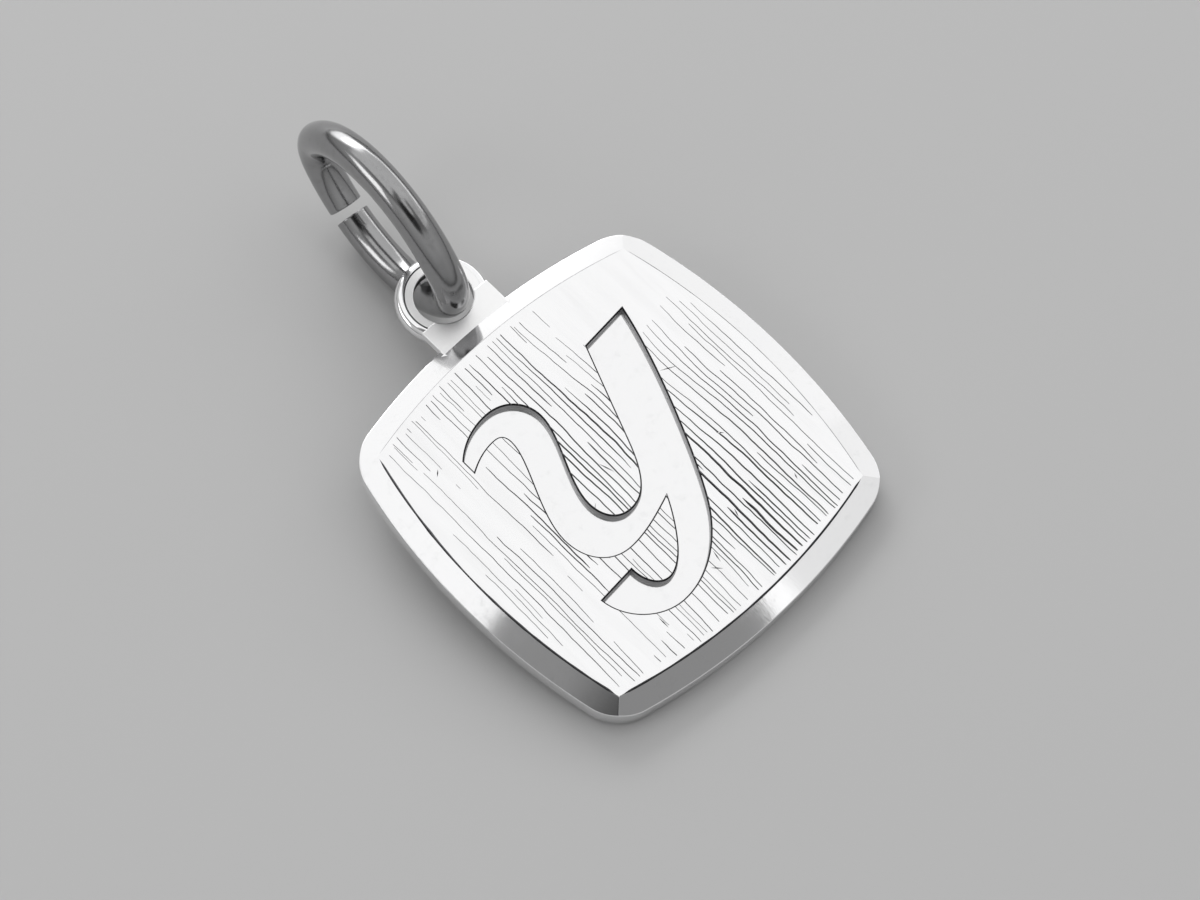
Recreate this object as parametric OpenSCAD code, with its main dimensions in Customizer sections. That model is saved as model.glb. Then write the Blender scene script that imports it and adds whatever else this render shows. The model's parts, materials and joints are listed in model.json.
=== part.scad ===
// Initial pendant: a cushion-shaped silver plate with bevelled edges and one sunk letter,
// a round eye on a short tab, and an oval jump ring through the eye.
// It lies face up: the plate's lower side and the jump ring touch the surface (z = 0),
// because the ring's lower limb passes under the eye and holds that end up.
// +X is the letter's right, +Y its top, +Z up. Sizes in millimetres, angles in degrees.

/* [Plate] */
// Width and height of the plate, across the middle of opposite sides
plate_w = 13; // [10:0.1:18]
// Radius of the bow of each side
side_r = 21.2; // [14:0.1:40]
// Radius of the rounded corners
corner_r = 1.55; // [0.6:0.05:2.5]
// Height of the upright rim
rim_h = 0.6; // [0.55:0.05:1.2]
// Width of the sloping border
bevel_w = 0.7; // [0.4:0.05:1.2]
// Rise of the sloping border
bevel_h = 0.22; // [0.14:0.02:0.5]

/* [Letter] */
// Height of the letter
letter_h = 8.2; // [4:0.1:9]
// Letter's middle to the right of the plate's middle
letter_x = 0.15; // [-0.8:0.05:0.8]
// Letter's middle above the plate's middle
letter_y = -0.18; // [-0.8:0.02:0.8]
// Depth of the sunk letter
letter_depth = 0.25; // [0.1:0.05:0.55]

/* [Eye] */
// Diameter of the eye's bore
eye_bore = 1.84; // [1.8:0.02:2.6]
// Wall of the eye around its bore
eye_wall = 0.57; // [0.5:0.01:0.8]
// Thickness of the eye
eye_t = 0.55; // [0.55:0.05:0.65]
// Rounding of the eye's outer edges
eye_round = 0.26; // [0.05:0.01:0.26]
// Bevel round the lower mouth of the bore, where the ring turns away
bore_bevel = 0.2; // [0.18:0.01:0.3]
// Middle of the bore beyond the plate's side
eye_out = 1.25; // [1.2:0.01:2]
// Underside of the eye above the plate's back
eye_lift = 0.1; // [0.1:0.01:0.2]

/* [Tab] */
// Width of the tab between plate and eye
tab_w = 2.7; // [1:0.05:2.8]
// Length of the tab beyond the plate's side
tab_l = 0.77; // [0.4:0.01:1.2]
// Height of the tab's top above the eye's
tab_proud = 0.05; // [0.02:0.01:0.15]

/* [Jump ring] */
// Length of the ring, outside
ring_l = 7.9; // [6.6:0.1:12]
// Height of the ring, outside
ring_h = 5.9; // [5.2:0.1:6.6]
// Diameter of its wire
ring_wire = 1.12; // [0.6:0.02:1.2]
// Radius of the ring's ends, on the middle of the wire
ring_end_r = 1.2; // [0.9:0.05:1.8]
// Width of the open joint
joint_gap = 0.35; // [0.1:0.05:0.6]
// The joint's middle, beyond the middle of the lower limb
joint_out = 1.9; // [0.2:0.1:2.1]
// Turn of the ring to the letter's right
ring_turn = 5; // [0:0.5:10]
// Clearance between the ring and the eye that lies on it
ring_clear = 0.1; // [0.05:0.01:0.3]

/* [Hidden] */
$fn = 96;
silver = [0.88, 0.89, 0.9];
ring_silver = [0.8, 0.81, 0.83];

half = plate_w / 2;
top_z = rim_h + bevel_h;
cut_over = 1;                       // how far cutters reach past what they cut
curve_steps = 7;                    // straight steps in each curve of the letter

// Each side is an arc whose centre lies side_in past the middle. A corner's arc touches two
// sides: its centre is (corner_at, corner_at), and it turns from corner_turn to 90 - corner_turn.
side_in = side_r - half;
corner_at = (sqrt(2 * pow(side_r - corner_r, 2) - side_in * side_in) - side_in) / 2;
corner_turn = atan2(corner_at, corner_at + side_in);

eye_r = eye_bore / 2 + eye_wall;
eye_y = half + eye_out;
eye_top = eye_lift + eye_t;
tab_top = eye_top + tab_proud;
tab_low = eye_lift + eye_round;     // the tab's underside, where the eye's side is upright
tab_seat = 1.2;                     // how far the tab runs on inside the plate
skin = 0.02;                        // overlap of the tab's raised top with the plate's rim

// The ring's middle line is an oval of two end arcs and two side arcs.
wire_r = ring_wire / 2;
oval_a = ring_l / 2 - wire_r;
oval_b = ring_h / 2 - wire_r;
end_at = oval_a - ring_end_r;
limb_r = (end_at * end_at + oval_b * oval_b - ring_end_r * ring_end_r) / (2 * (oval_b - ring_end_r));
limb_in = limb_r - oval_b;
end_turn = atan2(limb_in, end_at);
joint_at = asin(joint_out / limb_r);
joint_half = asin(joint_gap / 2 / limb_r);
// Where two arcs meet, a bead hardly wider than the wire makes them one solid
bead_r = wire_r + 0.003;
arc_short = 0.01;                   // how far an arc ends inside its bead

// How far from the ring's middle its near end passes a level that is drop below the middle
function near_reach(drop) = drop <= ring_end_r * sin(end_turn)
    ? end_at + sqrt(ring_end_r * ring_end_r - drop * drop)
    : sqrt(limb_r * limb_r - pow(drop + limb_in, 2));
// The height of a point of the plate, and its place along the surface, when it lies at a tilt
function lie_z(y, z, tilt) = (y + half) * sin(tilt) + z * cos(tilt);
function lie_y(y, z, tilt) = (y + half) * cos(tilt) - z * sin(tilt);
// The middle of the bore, and the ring's middle along the surface, at a tilt
bore_mid = eye_lift + eye_t / 2;
function ring_at(tilt) = lie_y(eye_y, bore_mid, tilt)
    + near_reach(oval_b + wire_r - lie_z(eye_y, bore_mid, tilt)) * cos(ring_turn);
// How far a point of the plate stands clear of the ring's lower limb or near end, at a tilt
function stand_off(point, tilt) =
    let (along = (ring_at(tilt) - lie_y(point[0], point[1], tilt)) / cos(ring_turn),
        drop = oval_b + wire_r - lie_z(point[0], point[1], tilt))
    (atan2(drop, along - end_at) < end_turn
        ? ring_end_r - norm([along - end_at, drop])
        : limb_r - norm([along, drop + limb_in])) - wire_r;
// The tilt at which the nearest of the eye's lower edges, as [y, z], is ring_clear off the ring
lower_edges = [
    [eye_y + eye_r - eye_round, eye_lift],
    [eye_y + eye_bore / 2 + bore_bevel, eye_lift],
    [eye_y + eye_bore / 2, eye_lift + bore_bevel]];
function settle(tilt, rounds) = rounds == 0 ? tilt
    : let (miss = ring_clear - min([for (edge = lower_edges) stand_off(edge, tilt)]))
        settle(tilt + miss / (eye_y + half) * 180 / PI, rounds - 1);
rest_tilt = settle(6, 20);

ring_y = ring_at(rest_tilt);
ring_x = near_reach(oval_b + wire_r - lie_z(eye_y, bore_mid, rest_tilt)) * sin(ring_turn);
// The whole length along the surface, whose middle is the origin
low_y = -rim_h * sin(rest_tilt);
high_y = ring_y + oval_a * cos(ring_turn) + wire_r;
mid_y = (low_y + high_y) / 2;

// The letter's outline in shares of its height, from its middle, drawn as with a broad pen.
// Each row leaves a point towards a first handle and reaches the next row's point from a second.
//   point x, y        first handle x, y   second handle x, y
letter_outline = [
    [ 0.430,  0.475,    0.362,  0.468,      0.294,  0.461],     // head of the long stroke
    [ 0.226,  0.454,    0.178,  0.333,      0.130,  0.213],     // left side of the long stroke
    [ 0.078,  0.080,    0.018, -0.075,     -0.040, -0.124],     // right of the bowl
    [-0.112, -0.124,   -0.175, -0.124,     -0.212, -0.072],     // foot of the bowl
    [-0.212, -0.004,   -0.212,  0.110,     -0.098,  0.258],     // inner side of the short stroke
    [-0.098,  0.364,   -0.098,  0.446,     -0.160,  0.500],     // shoulder
    [-0.238,  0.500,   -0.312,  0.500,     -0.380,  0.470],     // crest of the hook
    [-0.428,  0.424,   -0.428,  0.406,     -0.428,  0.388],     // tip of the hook
    [-0.428,  0.370,   -0.378,  0.400,     -0.330,  0.412],     // underside of the hook
    [-0.290,  0.412,   -0.258,  0.412,     -0.244,  0.394],     // throat of the hook
    [-0.244,  0.360,   -0.244,  0.262,     -0.370,  0.086],     // outer side of the short stroke
    [-0.370, -0.046,   -0.370, -0.154,     -0.304, -0.224],     // left of the bowl
    [-0.214, -0.224,   -0.130, -0.224,     -0.040, -0.190],     // underside of the bowl
    [ 0.032, -0.164,    0.010, -0.216,     -0.066, -0.338],     // inner side of the tail
    [-0.120, -0.376,   -0.144, -0.396,     -0.170, -0.408],     // turn of the tail
    [-0.192, -0.408,   -0.244, -0.408,     -0.275, -0.350],     // inner curl
    [-0.275, -0.292,   -0.328, -0.297,     -0.380, -0.301],     // end of the tail
    [-0.433, -0.306,   -0.420, -0.412,     -0.322, -0.500],     // outer curl
    [-0.214, -0.500,   -0.096, -0.500,      0.020, -0.426],     // foot of the tail
    [ 0.100, -0.314,    0.166, -0.220,      0.250, -0.028],     // right side of the tail
    [ 0.295,  0.078,    0.350,  0.210,      0.404,  0.360]];    // right side of the long stroke

function bezier(p, h1, h2, q, t) =
    pow(1 - t, 3) * p + 3 * t * pow(1 - t, 2) * h1 + 3 * t * t * (1 - t) * h2 + t * t * t * q;
function pair(row, column) = [row[column], row[column + 1]];
letter_points = [for (i = [0 : len(letter_outline) - 1], step = [0 : curve_steps - 1])
    let (row = letter_outline[i], next = letter_outline[(i + 1) % len(letter_outline)])
    bezier(pair(row, 0), pair(row, 2), pair(row, 4), pair(next, 0), step / curve_steps)];

// One side of the plate as a wide disc with a conical edge. The disc's turn starts at the
// side's middle, so the lower side has a point there for the plate to rest on.
module side_disc() {
    translate([-side_in, 0, 0])
        rotate_extrude($fn = 360)
            polygon([[0, 0], [side_r, 0], [side_r, rim_h], [side_r - bevel_w, top_z], [0, top_z]]);
}

// What the rounded corner takes away from the sharp one, at the north-east
module corner_cut() {
    reach = corner_r * 3;
    translate([corner_at, corner_at, -cut_over])
        linear_extrude(top_z + 2 * cut_over)
            difference() {
                polygon([[0, 0], reach * [sin(corner_turn), cos(corner_turn)], [reach, reach],
                    reach * [cos(corner_turn), sin(corner_turn)]]);
                circle(r = corner_r);
            }
}

module plate() {
    difference() {
        intersection() {
            side_disc();
            rotate(90) side_disc();
            rotate(180) side_disc();
            rotate(270) side_disc();
        }
        for (turn = [0 : 90 : 270]) rotate(turn) corner_cut();
    }
}

module letter_recess() {
    translate([letter_x, letter_y, top_z - letter_depth])
        linear_extrude(letter_depth + cut_over)
            polygon([for (p = letter_points) p * letter_h]);
}

// The eye's section: upright bore, flat top and underside, rounded outer edges
module eye_body() {
    wall_out = eye_r - eye_round;
    translate([0, eye_y, 0])
        rotate_extrude()
            union() {
                translate([eye_bore / 4, eye_lift]) square([wall_out - eye_bore / 4, eye_t]);
                translate([wall_out, eye_lift + eye_round])
                    square([eye_round, eye_t - 2 * eye_round]);
                for (z = [eye_lift + eye_round, eye_top - eye_round])
                    translate([wall_out, z]) circle(r = eye_round);
            }
}

module tab_body() {
    difference() {
        translate([-tab_w / 2, half - tab_seat, tab_low])
            cube([tab_w, tab_seat + tab_l, tab_top - tab_low]);
        // Inside the plate's outline the tab stays below the rim's top
        translate([0, -side_in, (tab_low + rim_h) / 2])
            cylinder(r = side_r - skin, h = tab_top, $fn = 360);
    }
}

module bore_cut() {
    bore_r = eye_bore / 2;
    translate([0, eye_y, 0]) {
        translate([0, 0, -cut_over]) cylinder(r = bore_r, h = tab_top + 2 * cut_over);
        translate([0, 0, eye_lift - cut_over])
            cylinder(r1 = bore_r + bore_bevel + cut_over, r2 = bore_r, h = bore_bevel + cut_over);
    }
}

// Puts a piece drawn on the flat plate where the plate lies
module lie() {
    translate([0, -mid_y, 0])
        rotate([rest_tilt, 0, 0])
            translate([0, half, 0])
                children();
}

module plaque() {
    color(silver)
        lie()
            difference() {
                union() {
                    plate();
                    eye_body();
                    tab_body();
                }
                bore_cut();
                letter_recess();
            }
}

// Part of the ring's wire: an arc of radius r about z, from one angle to another
module wire_arc(r, from, to) {
    rotate(from)
        rotate_extrude(angle = to - from)
            translate([r, 0]) circle(r = wire_r, $fn = 64);
}

module bail_ring() {
    joint_middle = 270 + joint_at;
    limb_short = arc_short / limb_r * 180 / PI;
    end_short = arc_short / ring_end_r * 180 / PI;
    color(ring_silver)
        translate([ring_x, ring_y - mid_y, oval_b + wire_r])
            rotate([90, 0, 90 - ring_turn]) {
                for (side = [0, 180]) rotate(side) translate([end_at, 0, 0]) {
                    wire_arc(ring_end_r, end_short - end_turn, end_turn - end_short);
                    for (turn = [-end_turn, end_turn])
                        rotate(turn) translate([ring_end_r, 0, 0]) sphere(r = bead_r, $fn = 64);
                }
                translate([0, -limb_in, 0])
                    wire_arc(limb_r, end_turn + limb_short, 180 - end_turn - limb_short);
                translate([0, limb_in, 0]) {
                    wire_arc(limb_r, 180 + end_turn + limb_short, joint_middle - joint_half);
                    wire_arc(limb_r, joint_middle + joint_half, 360 - end_turn - limb_short);
                }
            }
}

plaque();
bail_ring();
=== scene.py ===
import json
from math import asin, atan2, cos, hypot, pi, radians, sin, sqrt, tan

import bmesh
import bpy
from mathutils import Matrix, Vector
from mathutils.geometry import delaunay_2d_cdt

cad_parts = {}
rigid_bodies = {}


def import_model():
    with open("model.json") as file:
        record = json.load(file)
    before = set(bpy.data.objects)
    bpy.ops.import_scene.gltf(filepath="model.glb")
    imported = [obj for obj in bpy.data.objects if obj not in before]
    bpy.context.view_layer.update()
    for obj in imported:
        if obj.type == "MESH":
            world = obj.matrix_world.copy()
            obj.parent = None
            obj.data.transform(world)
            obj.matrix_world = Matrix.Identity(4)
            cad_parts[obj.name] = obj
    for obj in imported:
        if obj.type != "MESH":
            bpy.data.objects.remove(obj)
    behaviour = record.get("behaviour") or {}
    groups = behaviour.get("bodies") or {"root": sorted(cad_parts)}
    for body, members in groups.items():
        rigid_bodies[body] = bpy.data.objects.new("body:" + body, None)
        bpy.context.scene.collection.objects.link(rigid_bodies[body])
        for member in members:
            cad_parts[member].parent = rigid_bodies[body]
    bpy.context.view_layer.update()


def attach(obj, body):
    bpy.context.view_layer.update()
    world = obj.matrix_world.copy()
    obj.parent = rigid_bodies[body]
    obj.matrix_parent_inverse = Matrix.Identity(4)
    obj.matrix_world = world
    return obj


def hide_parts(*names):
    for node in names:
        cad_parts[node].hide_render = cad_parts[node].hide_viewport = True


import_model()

mm = 0.001
print("frame loaded")


# A socket that takes part in sums, in shader trees and geometry trees alike
class Link:
    def __init__(self, nodes, socket):
        self.nodes = nodes
        self.socket = socket

    def __add__(self, other):
        return self.nodes.maths("ADD", self, other)

    def __radd__(self, other):
        return self.nodes.maths("ADD", other, self)

    def __sub__(self, other):
        return self.nodes.maths("SUBTRACT", self, other)

    def __rsub__(self, other):
        return self.nodes.maths("SUBTRACT", other, self)

    def __mul__(self, other):
        return self.nodes.maths("MULTIPLY", self, other)

    def __truediv__(self, other):
        return self.nodes.maths("DIVIDE", self, other)

    def __rtruediv__(self, other):
        return self.nodes.maths("DIVIDE", other, self)

    def __pow__(self, other):
        return self.nodes.maths("POWER", self, other)

    def __lt__(self, other):
        return self.nodes.maths("LESS_THAN", self, other)

    def __gt__(self, other):
        return self.nodes.maths("GREATER_THAN", self, other)

    def ramp(self, low, high):
        return self.nodes.add("ShaderNodeMapRange", {"interpolation_type": "SMOOTHSTEP"}, {
            0: self, 1: low, 2: high})


class Nodes:
    def __init__(self, tree):
        self.tree = tree

    def add(self, kind, settings=None, sockets=None, output=0):
        node = self.tree.nodes.new(kind)
        for key, value in (settings or {}).items():
            setattr(node, key, value)
        for key, value in (sockets or {}).items():
            if isinstance(value, Link):
                self.tree.links.new(value.socket, node.inputs[key])
            else:
                node.inputs[key].default_value = value
        return Link(self, node.outputs[output])

    def maths(self, operation, *values):
        return self.add("ShaderNodeMath", {"operation": operation}, dict(enumerate(values)))

    def vectorMaths(self, operation, *values, output=0):
        return self.add("ShaderNodeVectorMath", {"operation": operation}, dict(enumerate(values)), output)

    def parts(self, vector):
        apart = self.add("ShaderNodeSeparateXYZ", None, {0: vector}).socket.node
        return [Link(self, socket) for socket in apart.outputs]

    def vector(self, x=0.0, y=0.0, z=0.0):
        return self.add("ShaderNodeCombineXYZ", None, {0: x, 1: y, 2: z})

    def noise(self, place, scale, detail, roughness=0.5):
        return self.add("ShaderNodeTexNoise", None, {
            "Vector": place, "Scale": scale, "Detail": detail, "Roughness": roughness})

    def stored(self, name):
        return self.add("GeometryNodeInputNamedAttribute", {"data_type": "FLOAT"}, {"Name": name})

    def store(self, geometry, name, value, domain="POINT", kind="FLOAT"):
        return self.add("GeometryNodeStoreNamedAttribute", {"data_type": kind, "domain": domain}, {
            "Geometry": geometry, "Name": name, "Value": value})

    # Object coordinates, which the silver finishes read
    def place(self):
        return self.add("ShaderNodeTexCoord", output=3)

    def mix(self, share, first, second):
        return self.add("ShaderNodeMix", {"data_type": "RGBA"}, {0: share, 6: first, 7: second}, output=2)

    def bump(self, height, strength, distance, **below):
        return self.add("ShaderNodeBump", None, {
            "Height": height, "Strength": strength, "Distance": distance, **below})

    def metal(self, colour, roughness, **more):
        return self.add("ShaderNodeBsdfPrincipled", None, {
            "Base Color": colour, "Metallic": 1, "Roughness": roughness, **more})


# Geometry trees with named inputs
def geometryTree(name, sizes):
    tree = bpy.data.node_groups.new(name, "GeometryNodeTree")
    tree.interface.new_socket("Geometry", in_out="OUTPUT", socket_type="NodeSocketGeometry")
    tree.interface.new_socket("Geometry", in_out="INPUT", socket_type="NodeSocketGeometry")
    for label, value in sizes.items():
        kind = "NodeSocketInt" if isinstance(value, int) else "NodeSocketFloat"
        tree.interface.new_socket(label, in_out="INPUT", socket_type=kind)
    nodes = Nodes(tree)
    start = tree.nodes.new("NodeGroupInput")
    inputs = {socket.name: Link(nodes, socket) for socket in start.outputs if socket.name}
    return nodes, inputs


def finishTree(nodes, geometry):
    end = nodes.tree.nodes.new("NodeGroupOutput")
    nodes.tree.links.new(geometry.socket, end.inputs[0])


# The plain mesh that a tree makes of a mesh
def grow(name, mesh, tree, sizes):
    carrier = bpy.data.objects.new(name + "Carrier", mesh)
    bpy.context.collection.objects.link(carrier)
    modifier = carrier.modifiers.new("tree", "NODES")
    modifier.node_group = tree
    for item in tree.interface.items_tree:
        if item.in_out == "INPUT" and item.name in sizes:
            modifier[item.identifier] = sizes[item.name]
    bpy.context.view_layer.update()
    ready = carrier.evaluated_get(bpy.context.evaluated_depsgraph_get())
    result = bpy.data.meshes.new_from_object(ready)
    result.name = name
    bpy.data.objects.remove(carrier)
    return result


# The plaque, drawn flat in millimetres with its middle on the origin and its back at z = 0
plaque = {
    "half": 6.5, "sideR": 21.2, "cornerR": 1.55, "rimH": 0.6, "bevelW": 0.7, "bevelH": 0.22,
    "edgeR": 0.035, "backR": 0.05, "facetBlend": 0.006, "tilt": 6.2038, "middleY": 10.4495,
}
# How finely the plate is meshed: steps along half a side and round half a corner, gaps that
# close in on the mitre, steps of its rounded edges, and where its bevel has rings
plateSteps = {
    "side": 26, "corner": 12, "mitre": [0.11, 0.06, 0.036, 0.024, 0.012, 0], "backEdge": 4, "rimEdge": 5,
    "rimMiddle": 0.3, "pastRim": 0.006, "bevel": (0.2, 0.4, 0.6), "beforePanel": 0.012,
}
letter = {
    "height": 8.2, "at": (0.15, -0.18), "depth": 0.25, "lipR": 0.05, "floorR": 0.02, "steps": 16,
    "edgeSteps": 4, "sharpBend": 0.5, "leastLean": 0.4, "cornerRoom": 0.8, "leastReach": 0.08,
}
eye = {
    "y": 7.75, "boreR": 0.92, "outerR": 1.49, "low": 0.1, "high": 0.63, "roundR": 0.26, "chamfer": 0.2,
    "lipR": 0.03, "grooveR": 1.2, "grooveW": 0.05, "grooveAt": 2.7, "grooveReach": 1.7,
    "grooveFade": 0.5, "grooveLeast": 0.04, "steps": 240, "edgeSteps": 14,
}
tab = {
    "width": 2.7, "end": 7.27, "low": 0.36, "high": 0.655, "edge": 0.02, "buried": 0.3,
    "boreGap": 0.03, "boreSteps": 30, "steps": 24, "sharp": 30,
}

# The initial's outline in shares of its height: a point, then the handles towards the next one
letterOutline = [
    (0.430, 0.475, 0.362, 0.468, 0.294, 0.461),
    (0.226, 0.454, 0.178, 0.333, 0.130, 0.213),
    (0.078, 0.080, 0.018, -0.075, -0.040, -0.124),
    (-0.112, -0.124, -0.175, -0.124, -0.212, -0.072),
    (-0.212, -0.004, -0.212, 0.110, -0.098, 0.258),
    (-0.098, 0.364, -0.098, 0.446, -0.160, 0.500),
    (-0.238, 0.500, -0.312, 0.500, -0.380, 0.470),
    (-0.428, 0.424, -0.428, 0.406, -0.428, 0.388),
    (-0.428, 0.370, -0.378, 0.400, -0.330, 0.412),
    (-0.290, 0.412, -0.258, 0.412, -0.244, 0.394),
    (-0.244, 0.360, -0.244, 0.262, -0.370, 0.086),
    (-0.370, -0.046, -0.370, -0.154, -0.304, -0.224),
    (-0.214, -0.224, -0.130, -0.224, -0.040, -0.190),
    (0.032, -0.164, 0.010, -0.216, -0.066, -0.338),
    (-0.120, -0.376, -0.144, -0.396, -0.170, -0.408),
    (-0.192, -0.408, -0.244, -0.408, -0.275, -0.350),
    (-0.275, -0.292, -0.328, -0.297, -0.380, -0.301),
    (-0.433, -0.306, -0.420, -0.412, -0.322, -0.500),
    (-0.214, -0.500, -0.096, -0.500, 0.020, -0.426),
    (0.100, -0.314, 0.166, -0.220, 0.250, -0.028),
    (0.295, 0.078, 0.350, 0.210, 0.404, 0.360),
]

sideIn = plaque["sideR"] - plaque["half"]
slope = plaque["bevelH"] / plaque["bevelW"]
panelZ = plaque["rimH"] + plaque["bevelH"]
borderR = plaque["sideR"] - plaque["bevelW"]
blend = plaque["facetBlend"] / slope
cornerAt = (sqrt(2 * (plaque["sideR"] - plaque["cornerR"]) ** 2 - sideIn ** 2) - sideIn) / 2
cornerTurn = atan2(cornerAt, cornerAt + sideIn)
lie = (Matrix.Scale(mm, 4) @ Matrix.Translation((0, -plaque["middleY"], 0))
       @ Matrix.Rotation(radians(plaque["tilt"]), 4, "X") @ Matrix.Translation((0, plaque["half"], 0)))


# The finishes
def newMaterial(name):
    material = bpy.data.materials.new(name)
    material.use_nodes = True
    material.node_tree.nodes.clear()
    return material, Nodes(material.node_tree)


def closeMaterial(material, nodes, shader):
    end = material.node_tree.nodes.new("ShaderNodeOutputMaterial")
    material.node_tree.links.new(shader.socket, end.inputs["Surface"])
    return material


# Coordinates of the lying plate: across it, from its foot to its eye, and up from its back
def plateCoords(nodes, stretch=(1, 1, 1)):
    lean, far = radians(plaque["tilt"]), plaque["middleY"] * mm
    flat = nodes.add("ShaderNodeMapping", None, {
        "Vector": nodes.place(), "Rotation": (-lean, 0, 0),
        "Location": (0, far * cos(lean) - plaque["half"] * mm, -far * sin(lean))})
    return nodes.vectorMaths("MULTIPLY", flat, stretch)


def grey(level):
    return (level, level, level, 1)


def toned(colour, share):
    return tuple(c * share for c in colour[:3]) + (1,)


silver = (0.945, 0.945, 0.95, 1)
# Near-black colour given to the engraved grooves, the eye's groove and the scratches; grain lightens it in
# places
grooveDark = (0.13, 0.13, 0.135, 1)
polished = {
    "swells": 420, "swellDepth": 0.00002, "scuffs": 2600, "worn": (0.5, 0.75), "wornShare": 0.5,
    "wornTone": 0.9, "hairs": 16000, "hairTurn": (0.3, 0.2, 0.8), "hairStretch": (1, 0.04, 1),
    "hairDepth": 0.000004,
}
brushed = {
    "fine": 15000, "fineRun": (1, 0.02, 1), "depth": 0.000006,
    "broad": 2400, "broadRun": (1, 0.12, 1), "streaked": (0.35, 0.8), "share": 0.35, "tone": 0.86,
}
grooves = {"grain": 9000, "run": (1, 0.05, 1), "lighter": 1.6}
# The wire's colour is a dark grey far below the plaque's silver: painted shade for the darker surroundings it
# mirrors; the worn colour darkens it further where scuffed
wire = {
    "colour": (0.37, 0.37, 0.3737, 1), "wornColour": (0.296, 0.296, 0.2997, 1), "roughness": 0.11,
    "streaks": 26, "streakRun": 0.9, "streakDepth": 0.00001, "wear": 0.5, "worn": (0.48, 0.72),
    "swells": 700, "swellDepth": 0.00003, "scuffs": 3400,
}
# The recess wall's colours are painted shade: a mid-grey wall and a near-black band of painted shade along
# its lip
wall = {
    "colour": (0.5, 0.5, 0.505, 1), "lipShadeColour": (0.03, 0.03, 0.032, 1), "lip": (0.06, 0.01), "grain": 7000,
}
frosted = {"grain": 9000, "tone": 0.94}


def polishedSilver(name, roughness, tone=1.0):
    material, nodes = newMaterial(name)
    place = nodes.place()
    swell = nodes.noise(place, polished["swells"], 1.5)
    scuff = nodes.noise(place, polished["scuffs"], 6, 0.7)
    combed = nodes.add("ShaderNodeMapping", None, {
        "Vector": place, "Rotation": polished["hairTurn"], "Scale": polished["hairStretch"]})
    hair = nodes.noise(combed, polished["hairs"], 2)
    wave = nodes.bump(swell, 0.25, polished["swellDepth"])
    bump = nodes.bump(hair, 0.06, polished["hairDepth"], Normal=wave)
    worn = scuff.ramp(*polished["worn"])
    fresh = toned(silver, tone)
    colour = nodes.mix(worn * polished["wornShare"], fresh, toned(fresh, polished["wornTone"]))
    rough = roughness + worn * 0.05 + hair * 0.02
    return closeMaterial(material, nodes, nodes.metal(colour, rough, Normal=bump))


def brushedSilver(name, roughness):
    material, nodes = newMaterial(name)
    fine = nodes.noise(plateCoords(nodes, brushed["fineRun"]), brushed["fine"], 3)
    broad = nodes.noise(plateCoords(nodes, brushed["broadRun"]), brushed["broad"], 3)
    bump = nodes.bump(fine, 0.15, brushed["depth"])
    streaked = broad.ramp(*brushed["streaked"]) * brushed["share"]
    colour = nodes.mix(streaked, silver, toned(silver, brushed["tone"]))
    return closeMaterial(material, nodes, nodes.metal(colour, roughness + fine * 0.08, Normal=bump))


def grooveSilver(name, roughness):
    material, nodes = newMaterial(name)
    grain = nodes.noise(plateCoords(nodes, grooves["run"]), grooves["grain"], 4)
    colour = nodes.mix(grain, grooveDark, toned(grooveDark, grooves["lighter"]))
    return closeMaterial(material, nodes, nodes.metal(colour, roughness + grain * 0.1))


# Streaks of the drawplate follow the wire through the attributes "around" and "run"
def drawnWireSilver(name):
    material, nodes = newMaterial(name)
    around = nodes.add("ShaderNodeAttribute", {"attribute_name": "around"}, output=1)
    run = nodes.add("ShaderNodeAttribute", {"attribute_name": "run"}, output=2)
    place = nodes.place()
    turned = nodes.vectorMaths("ADD", around, nodes.vector(z=run * wire["streakRun"]))
    streak = nodes.noise(turned, wire["streaks"], 4, 0.6)
    swell = nodes.noise(place, wire["swells"], 2)
    scuff = nodes.noise(place, wire["scuffs"], 6, 0.7)
    worn = scuff.ramp(*wire["worn"]) * wire["wear"]
    wave = nodes.bump(swell, 0.5, wire["swellDepth"])
    bump = nodes.bump(streak, 0.12, wire["streakDepth"], Normal=wave)
    # Base colour: the wire's painted-shade grey, darker still where worn and along streaks
    colour = nodes.mix(worn + streak * 0.4, wire["colour"], wire["wornColour"])
    rough = wire["roughness"] + worn * 0.12 + streak * 0.05
    return closeMaterial(material, nodes, nodes.metal(colour, rough, Normal=bump))


# The recess's wall, in painted shade: mid grey, and near black along its lip
def shadedWallSilver(name, roughness):
    material, nodes = newMaterial(name)
    _, _, z = nodes.parts(plateCoords(nodes, (1 / mm, 1 / mm, 1 / mm)))
    grain = nodes.noise(plateCoords(nodes), wall["grain"], 4)
    # Painted shade: the wall turns near black towards its lip
    lip = (z + grain * 0.02).ramp(*(panelZ - below for below in wall["lip"]))
    colour = nodes.mix(lip, wall["colour"], wall["lipShadeColour"])
    return closeMaterial(material, nodes, nodes.metal(colour, roughness + grain * 0.16))


def frostedSilver(name, roughness, tone):
    material, nodes = newMaterial(name)
    grain = nodes.noise(nodes.place(), frosted["grain"], 3)
    colour = nodes.mix(grain * 0.6, grey(tone), grey(tone * frosted["tone"]))
    return closeMaterial(material, nodes, nodes.metal(colour, roughness + grain * 0.06))


facetSilver = polishedSilver("facetSilver", 0.06)
panelSilver = brushedSilver("panelSilver", 0.09)
recessSilver = polishedSilver("recessSilver", 0.1, 0.97)
recessWallShadedSilver = shadedWallSilver("recessWallShadedSilver", 0.42)
engravedSilver = grooveSilver("engravedSilver", 0.3)
ringSilver = drawnWireSilver("ringSilver")
satinSilver = frostedSilver("satinSilver", 0.4, 0.99)
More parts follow.
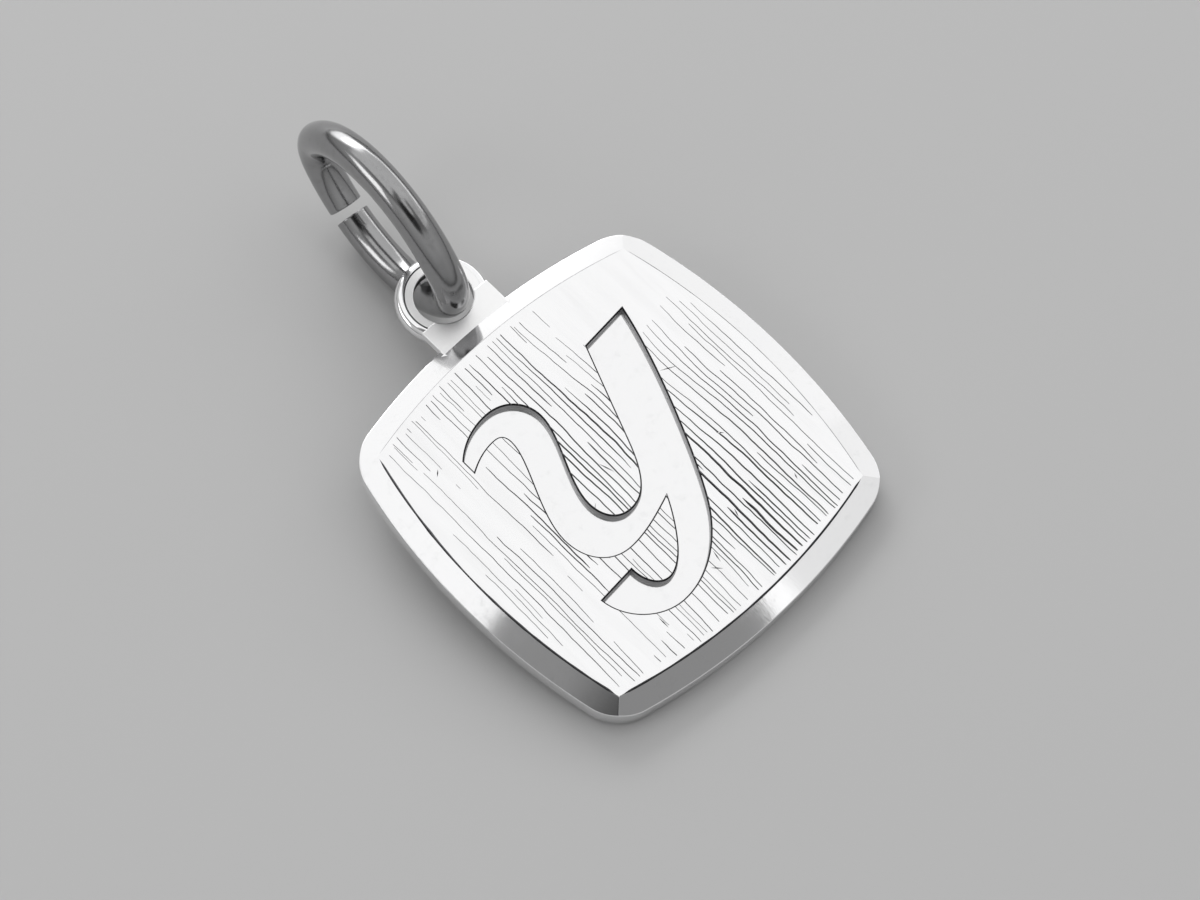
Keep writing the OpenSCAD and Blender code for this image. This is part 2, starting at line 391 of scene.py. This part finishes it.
# The bore's half-bright tone is painted shade inside the eye's hole; its higher roughness stands for the
# bore's less polished finish
shadedBoreSilver = frostedSilver("shadedBoreSilver", 0.3, 0.5)
finishes = [facetSilver, panelSilver, recessSilver, engravedSilver, recessWallShadedSilver, satinSilver, shadedBoreSilver]
facetAt, panelAt, recessAt, engravedAt, shadedWallAt, satinAt, shadedBoreAt = range(len(finishes))
print("materials made")


# How far a point lies inside each of the four sides, nearest first
def insets(x, y):
    across = [plaque["sideR"] - hypot(way * x + sideIn, y) for way in (1, -1)]
    along = [plaque["sideR"] - hypot(x, way * y + sideIn) for way in (1, -1)]
    return sorted(across + along)


def softMin(a, b, k):
    return min(a, b) - max(k - abs(a - b), 0) ** 2 / (4 * k)


def topAt(x, y):
    nearest, second = insets(x, y)[:2]
    k = plaque["facetBlend"]
    low = softMin(plaque["rimH"] + slope * nearest, plaque["rimH"] + slope * second, k)
    return softMin(low, panelZ, k)


# Where an arc of this radius, concentric with a side, meets the mitre
def diagonalTurn(radius):
    q = (sqrt(2 * radius ** 2 - sideIn ** 2) - sideIn) / 2
    return atan2(q, q + sideIn)


def quarterTurn(steps):
    return [pi / 2 * i / steps for i in range(steps + 1)]


# Stations from the east side's middle to the north-east mitre: a point on the rim, one inside the
# bevel, and the way out
def halfSide():
    innerR = borderR - blend
    innerTurn = diagonalTurn(innerR)
    sideMiddle, cornerMiddle = Vector((-sideIn, 0)), Vector((cornerAt, cornerAt))
    stations = []
    for i in range(plateSteps["side"]):
        a = cornerTurn * i / plateSteps["side"]
        out = Vector((cos(a), sin(a)))
        stations.append((sideMiddle + out * plaque["sideR"], sideMiddle + out * innerR, out))
    length = plaque["cornerR"] * (pi / 4 - cornerTurn)
    steps = plateSteps["corner"]
    for gap in [length * (1 - i / steps) for i in range(steps - 1)] + plateSteps["mitre"]:
        b = pi / 4 - gap / plaque["cornerR"]
        a = innerTurn - (innerTurn - cornerTurn) * (gap / length)
        out = Vector((cos(b), sin(b)))
        inner = sideMiddle + Vector((cos(a), sin(a))) * innerR
        stations.append((cornerMiddle + out * plaque["cornerR"], inner, out))
    return stations


def allStations():
    half = halfSide()
    quarter = half + [tuple(v.yx for v in station) for station in reversed(half[1:-1])]
    around = []
    for turn in range(4):
        spin = Matrix.Rotation(turn * pi / 2, 2)
        around += [tuple(spin @ v for v in station) for station in quarter]
    return around


# The plate's section at a station, from the back over the rim and the bevel to the panel
def stationRings(outer, inner, out):
    edge, back = plaque["edgeR"], plaque["backR"]
    beta = atan2(plaque["bevelH"], plaque["bevelW"])
    reach = edge * (1 - sin(beta)) / cos(beta)
    turns = quarterTurn(plateSteps["backEdge"])
    points = [(outer - out * back * (1 - sin(a)), back * (1 - cos(a))) for a in turns]
    points += [(outer, plateSteps["rimMiddle"]), (outer, topAt(*outer) - reach)]
    line = inner - outer
    start = min(insets(*outer))
    for i in range(1, plateSteps["rimEdge"] + 1):
        a = pi - (pi / 2 - beta) * i / plateSteps["rimEdge"]
        d = edge * (1 + cos(a))
        spot = outer + line.normalized() * d
        fall = slope * d + reach - edge * sin(a)
        points.append((spot, topAt(*spot) - fall))
    first = (edge * (1 - sin(beta)) + plateSteps["pastRim"]) / line.length
    whole = plaque["bevelW"] + blend - start
    border = (-blend - plateSteps["beforePanel"], -blend, -blend / 2, 0, blend / 2, blend)
    for share in (first, *plateSteps["bevel"], *((plaque["bevelW"] + e - start) / whole for e in border)):
        spot = outer + line * share
        points.append((spot, topAt(*spot)))
    return points


def bezier(p, h1, h2, q, t):
    return (1 - t) ** 3 * p + 3 * t * (1 - t) ** 2 * h1 + 3 * t * t * (1 - t) * h2 + t ** 3 * q


def letterLoop():
    points = []
    for row, after in zip(letterOutline, letterOutline[1:] + letterOutline[:1]):
        p, h1, h2, q = (Vector(pair) for pair in (row[:2], row[2:4], row[4:], after[:2]))
        points += [bezier(p, h1, h2, q, i / letter["steps"]) for i in range(letter["steps"])]
    return [p * letter["height"] + Vector(letter["at"]) for p in points]


def loopArea(loop):
    return sum(a.x * b.y - b.x * a.y for a, b in zip(loop, loop[1:] + loop[:1])) / 2


def offsetLoop(loop, distance):
    side = 1 if loopArea(loop) > 0 else -1
    runs = [(b - a).normalized() for a, b in zip(loop, loop[1:] + loop[:1])]
    turns = [before.cross(after) * side for before, after in zip(runs[-1:] + runs[:-1], runs)]
    bends = [before.angle(after) for before, after in zip(runs[-1:] + runs[:-1], runs)]
    sharp = [i for i, bend in enumerate(bends) if bend > letter["sharpBend"] and turns[i] * distance < 0]
    moved = []
    for i, p in enumerate(loop):
        before, after = runs[i - 1], runs[i]
        normal = Vector((before.y + after.y, -before.x - after.x)).normalized() * side
        lean = max(normal.dot(Vector((after.y, -after.x)) * side), letter["leastLean"])
        reach = abs(distance)
        for corner in sharp:                            # inside a sharp corner the two sides must not cross
            room = (p - loop[corner]).length * tan((pi - bends[corner]) / 2) * letter["cornerRoom"]
            reach = min(reach, max(room, abs(distance) * letter["leastReach"]))
        moved.append(p + normal * (reach if distance > 0 else -reach) / lean)
    return moved


def inside(x, y, loop):
    hit = False
    for a, b in zip(loop, loop[1:] + loop[:1]):
        if (a.y > y) != (b.y > y) and x < (b.x - a.x) * (y - a.y) / (b.y - a.y) + a.x:
            hit = not hit
    return hit


def plateMesh():
    mesh = bmesh.new()
    stations = [stationRings(*station) for station in allStations()]
    rings = [[mesh.verts.new((*s[k][0], s[k][1])) for s in stations] for k in range(len(stations[0]))]

    def skin(low, high, finish):
        for i in range(len(low)):
            j = (i + 1) % len(low)
            mesh.faces.new((low[i], low[j], high[j], high[i])).material_index = finish

    for low, high in zip(rings, rings[1:]):
        skin(low, high, facetAt)
    mesh.faces.new(list(reversed(rings[0]))).material_index = facetAt

    # The recess: a rounded lip, a wall, a rounded foot and a floor
    loop = letterLoop()
    lip, foot = letter["lipR"], letter["floorR"]
    floorZ = panelZ - letter["depth"]
    turns = quarterTurn(letter["edgeSteps"])
    walls = [(lip * (1 - sin(a)), panelZ - lip * (1 - cos(a))) for a in turns]
    walls += [(-foot * (1 - cos(a)), floorZ + foot * (1 - sin(a))) for a in turns]
    wallRings = [[mesh.verts.new((*p, z)) for p in offsetLoop(loop, d)] for d, z in walls]
    leftTurning = loopArea(loop) > 0
    for high, low in zip(wallRings, wallRings[1:]):
        skin(*((high, low) if leftTurning else (low, high)), shadedWallAt)
    floorLoop = wallRings[-1] if leftTurning else list(reversed(wallRings[-1]))
    mesh.faces.new(floorLoop).material_index = recessAt

    # The panel fills what lies between the bevels and the recess
    border, hole = rings[-1], wallRings[0]
    flat = [v.co.xy for v in border + hole]
    edges = [(i, (i + 1) % len(border)) for i in range(len(border))]
    edges += [(len(border) + i, len(border) + (i + 1) % len(hole)) for i in range(len(hole))]
    _, _, faces, sources, _, _ = delaunay_2d_cdt(flat, edges, [], 1, 1e-6)
    known = border + hole
    holeLoop = [v.co.xy for v in hole]
    for face in faces:
        corners = [known[sources[i][0]] for i in face]
        middle = sum((c.co for c in corners), Vector()) / 3
        if not inside(middle.x, middle.y, holeLoop):
            mesh.faces.new(corners).material_index = panelAt
    return mesh


# The eye's section at a turn: radius, height and the finish of the face that follows
def eyeSection(turn):
    bore, low, high, r = eye["boreR"], eye["low"], eye["high"], eye["roundR"]
    groove, ring, lip = eye["grooveR"], eye["outerR"] - r, eye["lipR"]
    # The groove runs out towards the plate's right, where the eye flows into the tab
    away = abs((turn - eye["grooveAt"] + pi) % (2 * pi) - pi)
    width = eye["grooveW"] * max(eye["grooveLeast"], min(1, (eye["grooveReach"] - away) / eye["grooveFade"]))
    # The bore's lower chamfer and its wall take the painted-shade finish
    section = [(bore + eye["chamfer"], low, shadedBoreAt), (bore, low + eye["chamfer"], shadedBoreAt)]
    section.append((bore, high - lip, satinAt))
    section += [(bore + lip * (1 - cos(a)), high - lip * (1 - sin(a)), satinAt)
                for a in (pi / 6, pi / 3, pi / 2)]
    section += [(groove - width / 2, high, engravedAt), (groove, high - width / 2, engravedAt),
                (groove + width / 2, high, satinAt)]
    quarter = quarterTurn(eye["edgeSteps"])
    section += [(ring + r * sin(a), high - r + r * cos(a), facetAt) for a in quarter]
    section += [(ring + r * cos(a), low + r - r * sin(a), facetAt) for a in quarter]
    return section


def eyeMesh():
    mesh = bmesh.new()
    loops = []
    for i in range(eye["steps"]):
        turn = 2 * pi * i / eye["steps"]
        section = eyeSection(turn)
        loops.append([mesh.verts.new((r * cos(turn), eye["y"] + r * sin(turn), z)) for r, z, _ in section])
    for here, after in zip(loops, loops[1:] + loops[:1]):
        for k, (_, _, finish) in enumerate(section):
            j = (k + 1) % len(section)
            mesh.faces.new((here[k], here[j], after[j], after[k])).material_index = finish
    bmesh.ops.recalc_face_normals(mesh, faces=mesh.faces)
    return mesh


def tabMesh():
    mesh = bmesh.new()
    wide, radius, bore = tab["width"] / 2, plaque["sideR"] - tab["buried"], eye["boreR"] + tab["boreGap"]
    mouth = asin((tab["end"] - eye["y"]) / bore)
    plan = [(-wide, tab["end"])]
    for i in range(tab["boreSteps"] + 1):               # round the eye's bore
        a = -pi - mouth + (pi + 2 * mouth) * i / tab["boreSteps"]
        plan.append((bore * cos(a), eye["y"] + bore * sin(a)))
    plan.append((wide, tab["end"]))
    for i in range(tab["steps"] + 1):                   # inside the plate
        x = wide - tab["width"] * i / tab["steps"]
        plan.append((x, sqrt(radius ** 2 - x ** 2) - sideIn))
    low = [mesh.verts.new((x, y, tab["low"])) for x, y in plan]
    high = [mesh.verts.new((x, y, tab["high"])) for x, y in plan]
    mesh.faces.new(low)
    mesh.faces.new(list(reversed(high)))
    for i in range(len(plan)):
        j = (i + 1) % len(plan)
        mesh.faces.new((low[j], low[i], high[i], high[j]))
    bmesh.ops.recalc_face_normals(mesh, faces=mesh.faces)
    sharp = [e for e in mesh.edges if e.calc_face_angle() > radians(tab["sharp"])]
    bmesh.ops.bevel(mesh, geom=sharp, offset=tab["edge"], segments=3, profile=0.5, affect="EDGES")
    for face in mesh.faces:
        face.material_index = satinAt
    return mesh


def toMesh(name, source):
    mesh = bpy.data.meshes.new(name)
    source.to_mesh(mesh)
    source.free()
    for material in finishes:
        mesh.materials.append(material)
    return mesh


# The solid union of closed meshes
def joined(name, meshes):
    objects = [bpy.data.objects.new(name + str(i), mesh) for i, mesh in enumerate(meshes)]
    for thing in objects:
        bpy.context.collection.objects.link(thing)
    for thing in objects[1:]:
        union = objects[0].modifiers.new("join", "BOOLEAN")
        union.operation = "UNION"
        union.solver = "MANIFOLD"
        union.object = thing
    ready = objects[0].evaluated_get(bpy.context.evaluated_depsgraph_get())
    result = bpy.data.meshes.new_from_object(ready)
    for thing in objects:
        bpy.data.objects.remove(thing)
    return result


body = joined("plaqueBody", [toMesh(name, source) for name, source in (
    ("plate", plateMesh()), ("eye", eyeMesh()), ("tab", tabMesh()))])
print("plaque body:", len(body.polygons), "faces")

# Engraved lines: shallow grooves that follow the panel
engraving = {
    "Lines": 58, "Steps": 130, "Spacing": 0.19, "Width": 0.088, "Waver": 0.1, "Shake": 0.09, "Slant": 0.01,
    "Gather": 0.42, "Lift": 0.003, "Border": 0.075, "Scratches": 15, "Scratch": 0.036, "Seed": 7,
}
# How the hand wanders, in noise per millimetre and per line, and where it gathers the lines
hand = {
    "run": 11.9, "start": 0.28, "driftAcross": 0.5, "driftAlong": 0.33, "driftLine": 0.35,
    "shakeAlong": 1.1, "shakeLine": 2.3, "gatherAt": (2.1, 1.4), "gatherSize": (1.3, 2.2),
}
# How deep a line bites: all over, in fields (place, size, share), between breaks and near the ends
bites = {
    "all": 0.29, "most": 1.1, "least": 0.16, "uneven": (0.5, 1.1),
    "fields": [((2.3, -3), (1.5, 3.4), 0.65), ((-0.2, 1.6), (1.4, 3.4), 0.38), ((-2.6, -1), (0.9, 2.5), 0.2),
               ((3.4, 4.4), (2.4, 1.7), -0.3), ((-4.8, 3.2), (1.8, 2.3), -0.11)],
    "breakAlong": 0.19, "breakLine": 3.7, "breakBusy": 0.24, "breaks": (0.48, 0.55),
    "endsApart": 0.16, "ends": (0.03, 0.14),
}
# The scribed border, with shares for the east, north, west and south side, and the scratches
scribed = {"shares": (0.22, 0.12, 1.1, 1.0), "steps": 120, "short": 0.004, "taper": 0.03, "waves": 1.1}
scratches = {"reach": 4.4, "turn": (0.4, 2.7), "length": (0.15, 0.75), "points": 7}
hairline = 0.002                                        # what is left of them where they run out


def engravingTree():
    nodes, size = geometryTree("engravedLines", engraving)
    add, vector, maths = nodes.add, nodes.vector, nodes.maths
    run = hand["run"]
    across = add("GeometryNodeMeshLine", None, {
        0: size["Lines"], 2: vector(x=(size["Lines"] - 1) * size["Spacing"] * -0.5),
        3: vector(x=size["Spacing"])})
    along = add("GeometryNodeMeshLine", None, {
        0: size["Steps"], 2: (0, -run / 2, panelZ), 3: vector(y=run / (size["Steps"] - 1))})
    lines = add("GeometryNodeRealizeInstances", None, {
        0: add("GeometryNodeInstanceOnPoints", None, {"Points": across, "Instance": along})})
    line = maths("FLOOR", add("GeometryNodeInputIndex") / size["Steps"])
    x, y, _ = nodes.parts(add("GeometryNodeInputPosition"))

    def randomValue(low, high, shift, **more):
        return add("FunctionNodeRandomValue", {"data_type": "FLOAT"}, {
            2: low, 3: high, 8: size["Seed"] + shift, **more}, output=1)

    def chance(low, high, shift):
        return randomValue(low, high, shift, ID=line)

    def field(middle, reach):
        return maths("EXPONENT", (((x - middle[0]) / reach[0]) ** 2 + ((y - middle[1]) / reach[1]) ** 2) * -1)

    # A cutter with a square section along a curve
    def scored(curve, scale):
        return add("GeometryNodeCurveToMesh", None, {
            "Curve": curve, "Scale": scale, "Fill Caps": True,
            "Profile Curve": add("GeometryNodeCurvePrimitiveCircle", None, {"Resolution": 4, "Radius": 1})})

    # Where a line wanders to
    wander = vector(x * hand["driftAcross"], y * hand["driftAlong"], line * hand["driftLine"])
    drift = nodes.noise(wander, 1, 2)
    shake = nodes.noise(vector(line * hand["shakeLine"], y * hand["shakeAlong"]), 1, 2, 0.6)
    shift = chance(-hand["start"], hand["start"], 0) * size["Spacing"] + (drift - 0.5) * size["Waver"] * 2
    shift = shift + (shake - 0.5) * size["Shake"]
    shift = shift + y * chance(-1, 1, 3) * size["Slant"]
    gathered = field(hand["gatherAt"], hand["gatherSize"])
    shift = shift - (x - hand["gatherAt"][0]) * gathered * size["Gather"]

    # How deep it bites
    busy = bites["all"]
    for middle, reach, share in bites["fields"]:
        busy = busy + field(middle, reach) * share
    breaks = nodes.noise(vector(line * bites["breakLine"], y * bites["breakAlong"]), 1, 1)
    present = (breaks + busy * bites["breakBusy"]).ramp(*bites["breaks"])
    border = None
    for cx, cy in ((sideIn, 0), (-sideIn, 0), (0, sideIn), (0, -sideIn)):
        gap = borderR - nodes.vectorMaths("DISTANCE", vector(x, y), (cx, cy, 0), output=1)
        border = gap if border is None else maths("MINIMUM", border, gap)
    ends = (border - chance(0, bites["endsApart"], 5)).ramp(*bites["ends"])
    bite = maths("MINIMUM", busy, bites["most"]) * chance(*bites["uneven"], 9) * present * ends

    moved = add("GeometryNodeSetPosition", None, {
        0: nodes.store(lines, "bite", bite), "Offset": vector(shift, 0.0, size["Lift"])})
    kept = add("GeometryNodeDeleteGeometry", {"domain": "POINT"}, {
        0: moved, 1: nodes.stored("bite") < bites["least"]})
    cutters = add("GeometryNodeJoinGeometry", None, {0: scored(
        add("GeometryNodeMeshToCurve", None, {0: kept}),
        nodes.stored("bite") * size["Width"] * 0.5 + size["Lift"])})

    def alsoCut(cutter):
        nodes.tree.links.new(cutter.socket, cutters.socket.node.inputs[0])

    # The scriber's line where the panel meets the bevels
    turn = diagonalTurn(borderR) - scribed["short"]
    for angle, share in zip((0, pi / 2, pi, 1.5 * pi), scribed["shares"]):
        arc = add("GeometryNodeTransform", None, {
            "Geometry": add("GeometryNodeCurveArc", {"mode": "RADIUS"}, {
                "Resolution": scribed["steps"], "Radius": borderR,
                "Start Angle": angle - turn, "Sweep Angle": 2 * turn}),
            "Translation": (-sideIn * cos(angle), -sideIn * sin(angle), panelZ)})
        along = add("GeometryNodeSplineParameter")
        uneven = nodes.noise(add("GeometryNodeInputPosition"), scribed["waves"], 2)
        taper = maths("MINIMUM", along, 1 - along).ramp(0, scribed["taper"])
        alsoCut(scored(arc, size["Border"] * taper * (uneven * 1.2 + 0.3) * share * 0.5 + hairline))

    # Short stray scratches of wear
    reach = scratches["reach"]
    spots = add("GeometryNodeSetPosition", None, {
        0: add("GeometryNodeMeshLine", None, {0: size["Scratches"]}),
        "Position": add("FunctionNodeRandomValue", {"data_type": "FLOAT_VECTOR"}, {
            0: (-reach, -reach, panelZ), 1: (reach, reach, panelZ), 8: size["Seed"] + 20})})
    stroke = add("GeometryNodeResampleCurve", None, {0: add("GeometryNodeCurvePrimitiveLine", None, {
        "Start": (-0.5, 0, 0), "End": (0.5, 0, 0)}), "Count": scratches["points"]})
    strewn = add("GeometryNodeRealizeInstances", None, {0: add("GeometryNodeInstanceOnPoints", None, {
        "Points": spots, "Instance": stroke,
        "Rotation": vector(z=randomValue(*scratches["turn"], 21)),
        "Scale": randomValue(*scratches["length"], 22)})})
    along = add("GeometryNodeSplineParameter")
    alsoCut(scored(strewn, maths("MINIMUM", along, 1 - along) * size["Scratch"] + hairline))

    marked = nodes.store(cutters, "engraved", 1.0, domain="FACE")
    cut = add("GeometryNodeMeshBoolean", {"operation": "DIFFERENCE", "solver": "MANIFOLD"}, {
        0: size["Geometry"], 1: marked})
    solid = add("GeometryNodeRealizeInstances", None, {0: cut})
    finishTree(nodes, add("GeometryNodeSetMaterial", None, {
        0: solid, 1: nodes.stored("engraved") > 0.5, 2: engravedSilver}))
    return nodes.tree


plaqueMesh = grow("plaqueSilver", body, engravingTree(), engraving)
print("engraved plaque:", len(plaqueMesh.polygons), "faces")

smooth = {"angle": 33, "level": 0.9995}
plaqueMesh.set_sharp_from_angle(angle=radians(smooth["angle"]))    # clears flat faces, so it comes first
for face in plaqueMesh.polygons:
    finish = plaqueMesh.materials[face.material_index]
    face.use_smooth = abs(face.normal.z) < smooth["level"] and finish != engravedSilver
plaqueMesh.transform(lie)
plaqueMesh.update()
plaquePiece = bpy.data.objects.new("engravedPlaque", plaqueMesh)
bpy.context.collection.objects.link(plaquePiece)
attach(plaquePiece, "root")
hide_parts("plaque")
print("plaque placed")

# The jump ring: a wire swept along an oval of four arcs, with a sawn joint. The oval follows the
# middle of a wire of the nominal size, and the wire itself is a hair thinner.
ring = {
    "length": 7.9, "height": 5.9, "nominalR": 0.56, "wireR": 0.5595, "endR": 1.2,
    "jointGap": 0.35, "jointOut": 1.9, "turn": 5, "at": (0.253777, 6.5772, 2.95),
    "sawnEdge": 0.035, "edgeSteps": 4, "stride": 0.09, "leastSteps": 8,
}
ringWire = {"Around": 96}


def ringPath():
    ovalA, ovalB = ring["length"] / 2 - ring["nominalR"], ring["height"] / 2 - ring["nominalR"]
    endR = ring["endR"]
    endAt = ovalA - endR
    limbR = (endAt ** 2 + ovalB ** 2 - endR ** 2) / (2 * (ovalB - endR))
    limbIn = limbR - ovalB
    endTurn = atan2(limbIn, endAt)
    jointMiddle = 1.5 * pi + asin(ring["jointOut"] / limbR)
    jointHalf = asin(ring["jointGap"] / 2 / limbR)
    arcs = [((0, limbIn), limbR, jointMiddle + jointHalf, 2 * pi - endTurn),
            ((endAt, 0), endR, -endTurn, endTurn),
            ((0, -limbIn), limbR, endTurn, pi - endTurn),
            ((-endAt, 0), endR, pi - endTurn, pi + endTurn),
            ((0, limbIn), limbR, pi + endTurn, jointMiddle - jointHalf)]
    path = []
    for (cx, cy), r, start, stop in arcs:
        steps = max(ring["leastSteps"], round(abs(stop - start) * r / ring["stride"]))
        path += [(cx + r * cos(a), cy + r * sin(a))
                 for a in (start + (stop - start) * i / steps for i in range(steps))]
    path.append((cx + r * cos(stop), cy + r * sin(stop)))
    return [Vector(p) for p in path]


# Points and wire radii, with the sawn ends' edges slightly rounded
def softenEnds(path):
    soft, wireR = ring["sawnEdge"], ring["wireR"]
    ends = [(soft * (1 - cos(a)), wireR - soft * (1 - sin(a))) for a in quarterTurn(ring["edgeSteps"])]
    first = (path[1] - path[0]).normalized()
    last = (path[-2] - path[-1]).normalized()
    points = [(path[0] + first * d, r) for d, r in ends]
    points += [(p, wireR) for p in path[1:-1]]
    return points + [(path[-1] + last * d, r) for d, r in reversed(ends)]


def ringTree():
    nodes, size = geometryTree("sweptWire", ringWire)
    add = nodes.add
    run = nodes.store(add("GeometryNodeMeshToCurve", None, {0: size["Geometry"]}), "run",
                      add("GeometryNodeSplineParameter", output=1))
    circle = add("GeometryNodeCurvePrimitiveCircle", None, {"Resolution": size["Around"], "Radius": 1})
    section = nodes.store(circle, "around", add("GeometryNodeInputPosition"), kind="FLOAT_VECTOR")
    swept = add("GeometryNodeCurveToMesh", None, {
        "Curve": run, "Profile Curve": section, "Scale": nodes.stored("thick"), "Fill Caps": True})
    solid = add("GeometryNodeRealizeInstances", None, {0: swept})
    finishTree(nodes, add("GeometryNodeSetMaterial", None, {0: solid, 2: ringSilver}))
    return nodes.tree


points = softenEnds(ringPath())
pathMesh = bpy.data.meshes.new("ringPath")
pathMesh.from_pydata([(p.x, p.y, 0) for p, _ in points], [(i, i + 1) for i in range(len(points) - 1)], [])
pathMesh.attributes.new("thick", "FLOAT", "POINT").data.foreach_set("value", [r for _, r in points])
ringMesh = grow("ringWire", pathMesh, ringTree(), ringWire)
ringStand = (Matrix.Scale(mm, 4) @ Matrix.Translation(ring["at"])
             @ Matrix.Rotation(radians(90 - ring["turn"]), 4, "Z") @ Matrix.Rotation(pi / 2, 4, "X"))
ringMesh.set_sharp_from_angle(angle=radians(smooth["angle"]))
for face in ringMesh.polygons:
    face.use_smooth = len(face.vertices) == 4
ringMesh.transform(ringStand)
ringPiece = bpy.data.objects.new("jumpRing", ringMesh)
bpy.context.collection.objects.link(ringPiece)
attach(ringPiece, "root")
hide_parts("bail_ring")
print("ring:", len(ringMesh.polygons), "faces")

# Floor, lights, room and camera
floorLook = {"size": 1.2, "tone": 0.55, "roughness": 0.65}
side = floorLook["size"] / 2
floorMesh = bpy.data.meshes.new("floor")
floorCorners = [(-side, -side, 0), (side, -side, 0), (side, side, 0), (-side, side, 0)]
floorMesh.from_pydata(floorCorners, [], [(0, 1, 2, 3)])
floor = bpy.data.objects.new("floor", floorMesh)
bpy.context.collection.objects.link(floor)
floorFinish, floorNodes = newMaterial("floorFinish")
floorMesh.materials.append(closeMaterial(floorFinish, floorNodes, floorNodes.add(
    "ShaderNodeBsdfPrincipled", None, {
        "Base Color": grey(floorLook["tone"]), "Roughness": floorLook["roughness"]})))

# Softboxes on a level above the pendant: place and size as shares of the level's height
lightHeight = 0.35
softboxes = {
    "main": {"at": (0.7, 0.792), "size": (2.4, 1.416), "radiance": 0.75},
    "lower": {"at": (0.55, -0.028), "size": (1.0, 0.224), "radiance": 0.75},
    "corner": {"at": (1.475, -0.028), "size": (0.85, 0.224), "radiance": 0.68},
    "beyond": {"at": (1.25, 1.9), "size": (2.0, 1.44), "radiance": 3.1},
    "overhead": {"at": (0.02, -0.22), "size": (0.26, 0.3), "radiance": 0.65},
    "right": {"at": (2.9, 0.5), "size": (1.4, 2.2), "radiance": 1.6},
    "gleam": {"at": (0.437, -0.47), "size": (0.06, 0.6), "radiance": 0.85},
    "lowRight": {"at": (1.184, -0.455), "size": (1.434, 0.63), "radiance": 0.56},
    "back": {"at": (-1.9, 1.3), "size": (1.6, 1.6), "radiance": 2.0},
}
for name, box in softboxes.items():
    lamp = bpy.data.lights.new(name, "AREA")
    lamp.shape = "RECTANGLE"
    lamp.size, lamp.size_y = (length * lightHeight for length in box["size"])
    lamp.energy = box["radiance"] * pi * lamp.size * lamp.size_y
    holder = bpy.data.objects.new(name, lamp)
    holder.location = (box["at"][0] * lightHeight, box["at"][1] * lightHeight, lightHeight)
    bpy.context.collection.objects.link(holder)

# The room: paler overhead, a band of wall, a dark side round the camera and a low window. Pairs say
# where a change starts and ends, as heights or as cosines from a direction.
room = {
    "low": 0.06, "high": 0.25, "rise": (0.05, 0.85),
    "walls": 0.34, "wallFoot": (0, 0.15), "wallTop": (0.6, 0.75), "lean": 0.18,
    "patches": 1.6, "patchLow": 0.8, "patchRange": 0.4,
    "cameraSide": 0.03, "cameraAt": (-0.33, -0.33, 0.885), "cameraReach": (0.945, 0.975),
    "window": 2.0, "windowAt": (0.33, 0.89, 0.314), "windowReach": (0.915, 0.975), "windowFoot": (0, 0.1),
}
world = bpy.data.worlds.new("room")
world.use_nodes = True
air = Nodes(world.node_tree)
air.tree.nodes.clear()
direction = air.add("ShaderNodeTexCoord")
east, north, height = air.parts(direction)
wallTop = (height + (east + north) * room["lean"]).ramp(*room["wallTop"])
band = height.ramp(*room["wallFoot"]) * (1 - wallTop)
glow = room["low"] + height.ramp(*room["rise"]) * (room["high"] - room["low"]) + band * room["walls"]
glow = glow * (room["patchLow"] + air.noise(direction, room["patches"], 1) * room["patchRange"])
nearCamera = air.vectorMaths("DOT_PRODUCT", direction, room["cameraAt"], output=1).ramp(*room["cameraReach"])
glow = glow * (1 - nearCamera * (1 - room["cameraSide"] / room["high"]))
window = air.vectorMaths("DOT_PRODUCT", direction, room["windowAt"], output=1).ramp(*room["windowReach"])
glow = glow + window * height.ramp(*room["windowFoot"]) * room["window"]
backdrop = air.add("ShaderNodeBackground", None, {"Color": grey(1), "Strength": glow})
air.tree.links.new(backdrop.socket, air.tree.nodes.new("ShaderNodeOutputWorld").inputs["Surface"])
bpy.context.scene.world = world
bpy.context.scene.view_settings.view_transform = "Standard"

# Camera: what the photograph shows, aimed 1.5 mm above the floor
photo = {
    "azimuth": -44.495, "elevation": 62.261, "distance": 102.33, "aim": (-0.0671, -3.2318, 1.5),
    "lens": 102.39, "sensor": 36, "near": 0.005,
}
turn, rise = radians(photo["azimuth"]), radians(photo["elevation"])
back = Vector((sin(turn) * cos(rise), -cos(turn) * cos(rise), sin(rise)))
camera = bpy.data.objects.new("camera", bpy.data.cameras.new("camera"))
camera.data.lens = photo["lens"]
camera.data.sensor_width = photo["sensor"]
camera.data.clip_start = photo["near"]
camera.location = (Vector(photo["aim"]) + back * photo["distance"]) * mm
camera.rotation_euler = (-back).to_track_quat("-Z", "Y").to_euler()
bpy.context.collection.objects.link(camera)
bpy.context.scene.camera = camera
print("stage ready")
